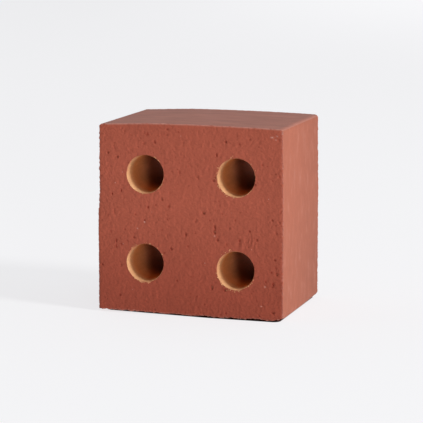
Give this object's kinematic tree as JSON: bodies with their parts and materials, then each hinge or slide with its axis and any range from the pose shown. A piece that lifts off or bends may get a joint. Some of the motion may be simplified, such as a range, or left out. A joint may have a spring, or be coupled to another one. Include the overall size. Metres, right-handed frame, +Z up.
{
  "type": "perforated clay half brick",
  "caption": "Wire-cut fired clay half brick standing on a smooth side face, with round lined perforations running through it between its two cut faces.",
  "frame": {"origin": "middle of the smooth side face that the brick stands on, at the bottom centre of its box", "axes": "+Z up, the front cut face looks along -Y, and the perforations run along Y"},
  "size_m": [0.1024, 0.073, 0.1025],
  "materials": {
    "red_clay": "matte, unglazed; dragged and pitted on the two cut faces, smooth on the four pressed faces",
    "buff_skin": "matte, fine-grained skin, broken at the rims"
  },
  "bodies": {
    "root": {"clay_body": "red_clay", "bore_lining_upper_left": "buff_skin", "bore_lining_upper_right": "buff_skin", "bore_lining_lower_left": "buff_skin", "bore_lining_lower_right": "buff_skin"}
  },
  "joints": []
}
